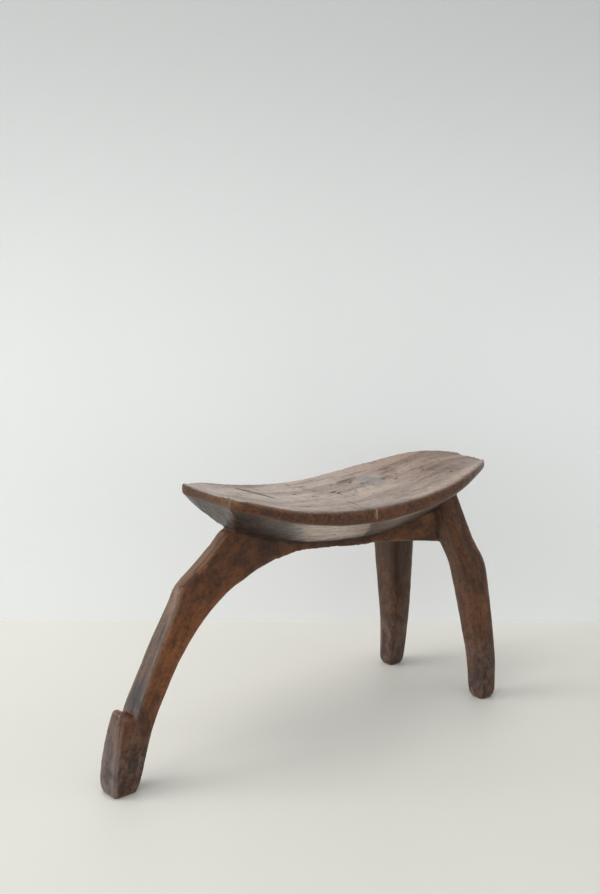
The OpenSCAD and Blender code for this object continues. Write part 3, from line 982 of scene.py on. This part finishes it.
def wood_relief(k):
    """Relief too fine for the mesh."""
    h = k.times(k.fine, 0.55)
    h = k.math("ADD", h, k.times(k.streak, 0.5))
    h = k.math("ADD", h, k.times(k.speck2, 0.35))
    h = k.math("ADD", h, k.times(k.speck, k.on["band"], 0.6))
    h = k.math("SUBTRACT", h, k.ramp(k.hole, 0.15, 0.06, 0, 0.4))
    bump = k.add("ShaderNodeBump")
    bump.inputs["Strength"].default_value = 0.7
    bump.inputs["Distance"].default_value = 0.0007  # metres
    k.link(h, bump.inputs["Height"])
    return bump.outputs[0]


def wood(name, seat_like):
    k = Wood(name)
    b = k.add("ShaderNodeBsdfPrincipled")
    k.link(wood_colour(k, seat_like), b.inputs["Base Color"])
    k.link(wood_roughness(k), b.inputs["Roughness"])
    k.link(wood_relief(k), b.inputs["Normal"])
    b.inputs["Specular IOR Level"].default_value = 0.30 if seat_like else 0.22
    b.inputs["IOR"].default_value = 1.5
    b.inputs["Coat Weight"].default_value = 0.20 if seat_like else 0.14
    b.inputs["Coat Roughness"].default_value = 0.26
    out = k.add("ShaderNodeOutputMaterial")
    k.link(b.outputs[0], out.inputs[0])
    return k.mat


mat_seat = wood("seat_wood", True)
mat_frame = wood("frame_wood", False)

# ---------------------------------------------------------------- stains, worn patches, painted sheen and painted shade
def blob(p, at_x, at_y, rx, ry, soft=0.5):
    """An uneven oval patch, 1 inside and 0 outside."""
    r = np.hypot((p[:, 0] - at_x) / rx, (p[:, 1] - at_y) / ry) + 0.22 * gnoise(p / 7.0, 101)
    return 1 - ease(1 - soft, 1 + soft * 0.6, r)


def bump_at(v, at, width):
    """1 where v is at, falling away over width."""
    return np.exp(-(((v - at) / width) ** 2))


# dark stains on the top: strength, place and radii in millimetres
STAINS = ((0.75, 92, 46, 15, 7), (0.85, 133, 22, 10, 6), (0.5, 150, 34, 17, 6), (0.45, 195, 2, 16, 9),
          (0.35, 62, 12, 18, 13))


def top_zones(p, n1):
    """The smooth blue-grey patch, a painted reflection on a polished spot, the stains round it and along the
    near edge, and the browner rear.
    """
    X, Y = p[:, 0], p[:, 1]
    edge, near_side = seat_half(X) + Y, Y < 0
    stain = sum(strength * blob(p, *place) for strength, *place in STAINS)
    middle = 0.80 * ease(-90, -40, X) * (1 - ease(50, 100, X)) * ease(24, 12, edge + 3.5 * n1)
    ahead = 0.5 * ease(-150, -120, X) * (1 - ease(-110, -60, X)) * ease(12, 5, edge + 2 * n1)
    stain = stain + middle * near_side + ahead * near_side
    return {"polish_reflection": blob(p, 112, 26, 17, 17, 0.45), "stain": clamp(stain), "rear": ease(40, 190, X + 10 * n1)}


def underside_zones(p, n1):
    """The pale polished patch of the bevel, painted as a reflection of the floor, which ends abruptly towards
    the rear, and the dark wood ahead.
    """
    X, A = p[:, 0], np.abs(p[:, 1])
    start, end = -85 + 0.833 * (61 - A), 17 + 0.745 * (77 - A)
    begun = ease(-8, 34, X - start + 7 * n1)
    ended = ease(-2.5, 4.5, X - end + 4.5 * n1 + 2 * gnoise(p / 3.5, 113))
    polish_sheen = begun * (1 - ended) * ease(12, 20, A)
    by_rim = 0.75 * ease(40, 90, X) * ease(11, 3, seat_half(X) - A) * (1 - ease(190, 240, X))
    return {"polish_sheen": clamp(polish_sheen + by_rim), "ahead": 1 - begun}


def member_zones(p, node, facing, n1):
    """Front faces darker and greyer, patina with a painted sheen; purplish toe and feet; black above the toe;
    and painted shade under the seat.
    """
    X, Z = p[:, 0], p[:, 2]
    on_leg = node == "front_leg"
    far_shade = 0.6 * (node == "rear_leg_right") * ease(60, 190, Z + 8 * n1)
    head_shade = 0.40 * on_leg * ease(196, 226, Z + 0.10 * X + 6 * n1) * ease(-120, -70, X)
    black = on_leg * ease(84, 90, Z) * (1 - ease(94, 128, Z + 5 * n1)) * ease(0.35, 0.6, facing)
    return {
        # painted sheen on faces turned to the window, over darker patina
        "front_patina_sheen": (1.0 if on_leg else 0.35) * ease(0.25, 0.7, facing) * (1 - ease(196, 226, Z) * 0.4),
        "foot": (1 - ease(30, 105, Z + 6 * n1)) * (1.0 if on_leg else 0.8),
        "black": black,
        "mid_orange": on_leg * bump_at(Z, 140, 62),
        "upface": on_leg * ease(0.25, 0.6, facing) * ease(165, 200, Z),
        "shade": far_shade + head_shade,
    }


def slit_zones(p, upwards):
    """The dark slit by the front corner, and the pale lip ahead of it."""
    path = np.array(FRONT_SLIT, float)
    gap = np.full(len(p), 99.0)
    for a, b in zip(path[:-1], path[1:]):
        t = clamp(((p[:, :2] - a) @ (b - a)) / ((b - a) @ (b - a)))
        gap = np.minimum(gap, np.hypot(*(p[:, :2] - a - t[:, None] * (b - a)).T))
    on_top = ease(0.2, 0.6, upwards)
    before = (p[:, 0] - path[0, 0]) * 0.79 + (p[:, 1] - path[0, 1]) * 0.61 < 0
    return {"crack": bump_at(gap, 0, 2.6) * on_top, "lip": bump_at(gap, 4.6, 1.7) * on_top * before}


def chips(p, n1):
    """Light chips on the near rim and at the near front corner."""
    X, Y, Z = p.T
    near_rim = ease(-66, -70, Y)
    large = bump_at(X, 24.3, 0.9) * near_rim * ease(255, 258, Z) * (1 - ease(267, 269, Z))
    small = 0.5 * bump_at(X, 21.6, 0.7) * near_rim * ease(258, 260, Z) * (1 - ease(263, 265, Z))
    corner = 0.8 * np.exp(-(((X + 143) / 5) ** 2) - ((Y + 42) / 5) ** 2) * ease(290, 295, Z)
    return {"chip": clamp(large + small + corner * (0.5 + 0.5 * n1))}


def zones(co, node, normal):
    """Tonal patches, in millimetres in the stool's frame: each is 0 to 1 over a piece's points."""
    p = co / MM
    n1 = gnoise(p / 9.0, 111)
    return {**top_zones(p, n1), **underside_zones(p, n1), **member_zones(p, node, -normal[:, 0], n1),
            **slit_zones(p, normal[:, 2]), **chips(p, n1)}


def arris_zones(co, node, facing):
    """Polish along the arrises, which also carries a painted highlight on the feet, and the dark line beside
    them on the front leg.
    """
    gap = np.array([arris_tree.find(p)[2] for p in co]) / MM
    X, Z = co[:, 0] / MM, co[:, 2] / MM
    arris = bump_at(gap, 0, 1.5) * (0.15 if node.startswith("rear") else 1.0)
    if node == "front_leg":  # the shaft's own edges beside the toe are dull
        arris *= 1 - 0.8 * ease(-258, -252, X) * ease(100, 86, Z)
    beside = bump_at(gap, 2.4, 0.9) * (node == "front_leg") * ease(0.2, 0.5, facing)
    return {"arris": arris, "beside": beside * ease(186, 200, Z) * (co[:, 1] < 0)}


def set_attribute(me, name, kind, field, values):
    me.attributes.new(name, kind, "POINT").data.foreach_set(field, values.astype(np.float32).ravel())


# ---------------------------------------------------------------- finishing each piece
pieces = [(seat, "seat", "seat_wood", mat_seat)]
for o, node in ((spine, "spine"), (front_leg, "front_leg"), (crotch, "crotch_block"),
                (leg_l, "rear_leg_left"), (leg_r, "rear_leg_right")):
    pieces.append((o, node, "frame_wood", mat_frame))
for o, node, slot, mat in pieces:
    o.name = node + "_carved"
    me = o.data
    me.name = o.name
    bm = bmesh.new()
    bm.from_mesh(me)
    bmesh.ops.dissolve_degenerate(bm, edges=bm.edges, dist=1e-6)
    bm.to_mesh(me)
    bm.free()
    n = len(me.vertices)
    co = np.empty(n * 3)
    me.vertices.foreach_get("co", co)
    co = co.reshape(-1, 3)
    idx = np.array([tree.find(p)[1] for p in co])
    # surfaces made by the cuts, well below the carved one, are dark
    deep = ease(0.35, 1.3, -((co - V[idx]) * N[idx]).sum(1) / MM)
    own = {a: vals[idx] for a, vals in masks.items()}
    own["cav"] = clamp(own["cav"] + deep)
    own.update(arris_zones(co, node, -N[idx][:, 0]))
    own.update(zones(co, node, N[idx]))
    for a, vals in own.items():
        set_attribute(me, a, "FLOAT", "value", vals)
    set_attribute(me, "grain", "FLOAT_VECTOR", "vector", grain_of(co, np.full(n, names.index(node))))
    me.materials.clear()
    me.materials.append(mat)
    me.polygons.foreach_set("use_smooth", [True] * len(me.polygons))
    me.set_sharp_from_angle(angle=math.radians(48))
    me.update()
    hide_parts(node)
    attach(o, "root")


# ---------------------------------------------------------------- floor, wall and light
def plain(name, rgb, rough, one_sided_painted_shade=False):
    """Paint; one_sided_painted_shade makes it see-through from behind and gives it painted shade, darker
    towards the ceiling.
    """
    k = Nodes(name)
    b = k.add("ShaderNodeBsdfPrincipled")
    pos = k.add("ShaderNodeTexCoord").outputs["Object"]
    tint = k.noise(pos, 2.5, 4, 0.5)
    col = k.mix(k.ramp(tint, 0.3, 0.7, 0, 1), rgb, tuple(c * 0.975 for c in rgb))
    if one_sided_painted_shade:
        xyz = k.add("ShaderNodeSeparateXYZ")
        k.link(pos, xyz.inputs[0])
        # painted shade: the wall's colour darkens towards the ceiling
        col = k.mix(k.ramp(xyz.outputs[2], 0.30, 1.0, 0, 1), col, tuple(c * 0.58 for c in rgb))
    k.link(col, b.inputs["Base Color"])
    b.inputs["Roughness"].default_value = rough
    out = k.add("ShaderNodeOutputMaterial")
    if one_sided_painted_shade:
        geo = k.add("ShaderNodeNewGeometry")
        tr = k.add("ShaderNodeBsdfTransparent")
        mx = k.add("ShaderNodeMixShader")
        k.link(geo.outputs["Backfacing"], mx.inputs[0])
        k.link(b.outputs[0], mx.inputs[1])
        k.link(tr.outputs[0], mx.inputs[2])
        k.link(mx.outputs[0], out.inputs[0])
    else:
        k.link(b.outputs[0], out.inputs[0])
    return k.mat


flat = Vector((math.cos(YAW), math.sin(YAW), 0))
side = Vector((math.sin(YAW), -math.cos(YAW), 0))
floor = new_object("floor", [(-6, -6, 0), (6, -6, 0), (6, 6, 0), (-6, 6, 0)], [(0, 1, 2, 3)])
floor.data.materials.append(plain("floor_paint", (0.690, 0.668, 0.612), 0.55))
WALL_AWAY = 1.719  # metres from the camera
foot_line = Vector((eye.x, eye.y, 0)) + flat * WALL_AWAY
w0, w1 = foot_line - side * 4, foot_line + side * 4
wall = new_object("wall", [w0, w1, w1 + Vector((0, 0, 4)), w0 + Vector((0, 0, 4))], [(0, 1, 2, 3)])
bm = bmesh.new()
bm.from_mesh(wall.data)
bm.faces.ensure_lookup_table()
if bm.faces[0].normal.dot(flat) > 0:
    bmesh.ops.reverse_faces(bm, faces=bm.faces)
bm.to_mesh(wall.data)
bm.free()
wall.data.materials.append(plain("wall_paint_and_shade", (0.89, 0.895, 0.89), 0.7, True))

world = bpy.data.worlds.new("room")
world.use_nodes = True
bg = world.node_tree.nodes["Background"]
bg.inputs[0].default_value = (0.93, 0.97, 1.0, 1)
bg.inputs[1].default_value = 0.80
bpy.context.scene.world = world
bpy.context.scene.view_settings.view_transform = "Standard"


def area(name, at, aim, size, power, colour):
    """A rectangular light at a place, turned to its aim."""
    li = bpy.data.lights.new(name, "AREA")
    li.shape = "RECTANGLE"
    li.size, li.size_y = size
    li.energy = power
    li.color = colour
    o = bpy.data.objects.new(name, li)
    o.location = at
    o.rotation_mode = "QUATERNION"
    o.rotation_quaternion = (Vector(aim) - Vector(at)).to_track_quat("-Z", "Y")
    COLL.objects.link(o)


centre = Vector((0, 0, 0.15))
window_at = centre - side * 3.4 - flat * 0.5 + Vector((0, 0, 1.4))
skylight_at = centre - side * 0.35 - flat * 0.15 + Vector((0, 0, 2.0))
area("window", window_at, centre, (2.2, 1.7), 70, (0.98, 0.99, 1.0))
area("skylight", skylight_at, centre, (1.0, 1.0), 12, (1.0, 0.985, 0.95))
